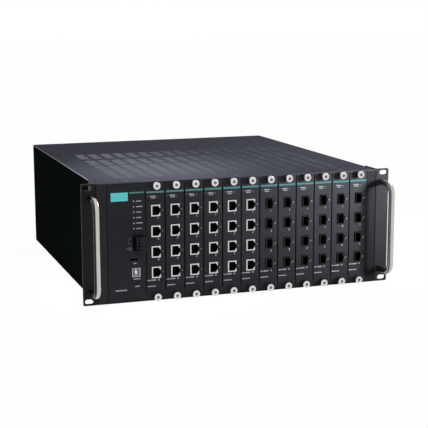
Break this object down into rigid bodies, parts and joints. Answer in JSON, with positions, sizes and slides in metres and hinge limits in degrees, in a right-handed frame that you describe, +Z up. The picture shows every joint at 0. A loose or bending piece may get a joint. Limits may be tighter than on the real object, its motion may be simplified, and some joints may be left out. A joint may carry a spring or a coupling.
{
  "type": "modular chassis switch",
  "caption": "Rack-mount chassis switch with a system panel, plug-in copper and fibre port modules, captive screws, front handles and rear power modules.",
  "frame": {"origin": "centre of the four rack slots, on the back face of the rack ears", "axes": "+X right seen from the front, +Y to the rear, +Z up"},
  "size_m": [0.4826, 0.564, 0.177],
  "materials": {
    "black_paint": "fine textured black powder coat",
    "panel_paint": "satin black paint with grey and teal print",
    "bare_steel": "plain zinc plated sheet",
    "satin_steel": "polished steel bar",
    "nickel": "bright nickel plate",
    "black_screw": "black zinc",
    "circuit_board": "green solder mask with fitted parts",
    "black_aluminium": "black anodised",
    "clear_plastic": "clear moulded light pipes",
    "connector_shell": "tinned steel shell",
    "black_plastic": "black moulding"
  },
  "bodies": {
    "chassis": {"chassis_tray": "black_paint", "top_cover": "black_paint", "rear_panel": "black_paint", "left_rack_ear": "black_paint", "right_rack_ear": "black_paint", "card_cage": "bare_steel", "backplane": "circuit_board", "switch_board": "circuit_board", "heat_sink": "black_aluminium", "case_screws": "black_screw", "handle_screws": "black_screw", "left_handle": "satin_steel", "right_handle": "satin_steel", "system_panel": "panel_paint", "system_board": "circuit_board", "status_light_pipes": "clear_plastic", "usb_storage_port": "connector_shell", "usb_console_port": "connector_shell"},
    "relay_plug": {"relay_plug": "black_plastic"},
    "reset_button": {"reset_button": "black_plastic"},
    "left_power_module": {"left_power_case": "bare_steel", "left_power_inlet": "black_plastic"},
    "right_power_module": {"right_power_case": "bare_steel", "right_power_inlet": "black_plastic"},
    "module_01": {"module_01_faceplate": "panel_paint", "module_01_board": "circuit_board"},
    "module_01_screws": {"module_01_screws": "nickel"},
    "module_02": {"module_02_faceplate": "panel_paint", "module_02_board": "circuit_board"},
    "module_02_screws": {"module_02_screws": "nickel"},
    "module_03": {"module_03_faceplate": "panel_paint", "module_03_board": "circuit_board"},
    "module_03_screws": {"module_03_screws": "nickel"},
    "module_04": {"module_04_faceplate": "panel_paint", "module_04_board": "circuit_board"},
    "module_04_screws": {"module_04_screws": "nickel"},
    "module_05": {"module_05_faceplate": "panel_paint", "module_05_board": "circuit_board"},
    "module_05_screws": {"module_05_screws": "nickel"},
    "module_06": {"module_06_faceplate": "panel_paint", "module_06_board": "circuit_board"},
    "module_06_screws": {"module_06_screws": "nickel"},
    "module_07": {"module_07_faceplate": "panel_paint", "module_07_board": "circuit_board"},
    "module_07_screws": {"module_07_screws": "nickel"},
    "module_08": {"module_08_faceplate": "panel_paint", "module_08_board": "circuit_board"},
    "module_08_screws": {"module_08_screws": "nickel"},
    "module_09": {"module_09_faceplate": "panel_paint", "module_09_board": "circuit_board"},
    "module_09_screws": {"module_09_screws": "nickel"},
    "module_10": {"module_10_faceplate": "panel_paint", "module_10_board": "circuit_board"},
    "module_10_screws": {"module_10_screws": "nickel"},
    "module_11": {"module_11_faceplate": "panel_paint", "module_11_board": "circuit_board"},
    "module_11_screws": {"module_11_screws": "nickel"},
    "module_12": {"module_12_faceplate": "panel_paint", "module_12_board": "circuit_board"},
    "module_12_screws": {"module_12_screws": "nickel"}
  },
  "joints": [
    {"name": "module_01_slide", "type": "slide", "parent": "chassis", "child": "module_01", "axis": [0, -1, 0], "range_m": [0, 0.18]},
    {"name": "module_01_screws_back_out", "type": "slide", "parent": "module_01", "child": "module_01_screws", "axis": [0, -1, 0], "range_m": [0, 0.0042]},
    {"name": "module_02_slide", "type": "slide", "parent": "chassis", "child": "module_02", "axis": [0, -1, 0], "range_m": [0, 0.18]},
    {"name": "module_02_screws_back_out", "type": "slide", "parent": "module_02", "child": "module_02_screws", "axis": [0, -1, 0], "range_m": [0, 0.0042]},
    {"name": "module_03_slide", "type": "slide", "parent": "chassis", "child": "module_03", "axis": [0, -1, 0], "range_m": [0, 0.18]},
    {"name": "module_03_screws_back_out", "type": "slide", "parent": "module_03", "child": "module_03_screws", "axis": [0, -1, 0], "range_m": [0, 0.0042]},
    {"name": "module_04_slide", "type": "slide", "parent": "chassis", "child": "module_04", "axis": [0, -1, 0], "range_m": [0, 0.18]},
    {"name": "module_04_screws_back_out", "type": "slide", "parent": "module_04", "child": "module_04_screws", "axis": [0, -1, 0], "range_m": [0, 0.0042]},
    {"name": "module_05_slide", "type": "slide", "parent": "chassis", "child": "module_05", "axis": [0, -1, 0], "range_m": [0, 0.18]},
    {"name": "module_05_screws_back_out", "type": "slide", "parent": "module_05", "child": "module_05_screws", "axis": [0, -1, 0], "range_m": [0, 0.0042]},
    {"name": "module_06_slide", "type": "slide", "parent": "chassis", "child": "module_06", "axis": [0, -1, 0], "range_m": [0, 0.18]},
    {"name": "module_06_screws_back_out", "type": "slide", "parent": "module_06", "child": "module_06_screws", "axis": [0, -1, 0], "range_m": [0, 0.0042]},
    {"name": "module_07_slide", "type": "slide", "parent": "chassis", "child": "module_07", "axis": [0, -1, 0], "range_m": [0, 0.18]},
    {"name": "module_07_screws_back_out", "type": "slide", "parent": "module_07", "child": "module_07_screws", "axis": [0, -1, 0], "range_m": [0, 0.0042]},
    {"name": "module_08_slide", "type": "slide", "parent": "chassis", "child": "module_08", "axis": [0, -1, 0], "range_m": [0, 0.18]},
    {"name": "module_08_screws_back_out", "type": "slide", "parent": "module_08", "child": "module_08_screws", "axis": [0, -1, 0], "range_m": [0, 0.0042]},
    {"name": "module_09_slide", "type": "slide", "parent": "chassis", "child": "module_09", "axis": [0, -1, 0], "range_m": [0, 0.18]},
    {"name": "module_09_screws_back_out", "type": "slide", "parent": "module_09", "child": "module_09_screws", "axis": [0, -1, 0], "range_m": [0, 0.0042]},
    {"name": "module_10_slide", "type": "slide", "parent": "chassis", "child": "module_10", "axis": [0, -1, 0], "range_m": [0, 0.18]},
    {"name": "module_10_screws_back_out", "type": "slide", "parent": "module_10", "child": "module_10_screws", "axis": [0, -1, 0], "range_m": [0, 0.0042]},
    {"name": "module_11_slide", "type": "slide", "parent": "chassis", "child": "module_11", "axis": [0, -1, 0], "range_m": [0, 0.18]},
    {"name": "module_11_screws_back_out", "type": "slide", "parent": "module_11", "child": "module_11_screws", "axis": [0, -1, 0], "range_m": [0, 0.0042]},
    {"name": "module_12_slide", "type": "slide", "parent": "chassis", "child": "module_12", "axis": [0, -1, 0], "range_m": [0, 0.18]},
    {"name": "module_12_screws_back_out", "type": "slide", "parent": "module_12", "child": "module_12_screws", "axis": [0, -1, 0], "range_m": [0, 0.0042]},
    {"name": "relay_plug_pull", "type": "slide", "parent": "chassis", "child": "relay_plug", "axis": [0, -1, 0], "range_m": [0, 0.012]},
    {"name": "reset_press", "type": "slide", "parent": "chassis", "child": "reset_button", "axis": [0, 1, 0], "range_m": [0, 0.0008], "stiffness_N_per_m": 1000, "springref_m": -0.001},
    {"name": "left_power_slide", "type": "slide", "parent": "chassis", "child": "left_power_module", "axis": [0, 1, 0], "range_m": [0, 0.18]},
    {"name": "right_power_slide", "type": "slide", "parent": "chassis", "child": "right_power_module", "axis": [0, 1, 0], "range_m": [0, 0.18]}
  ]
}
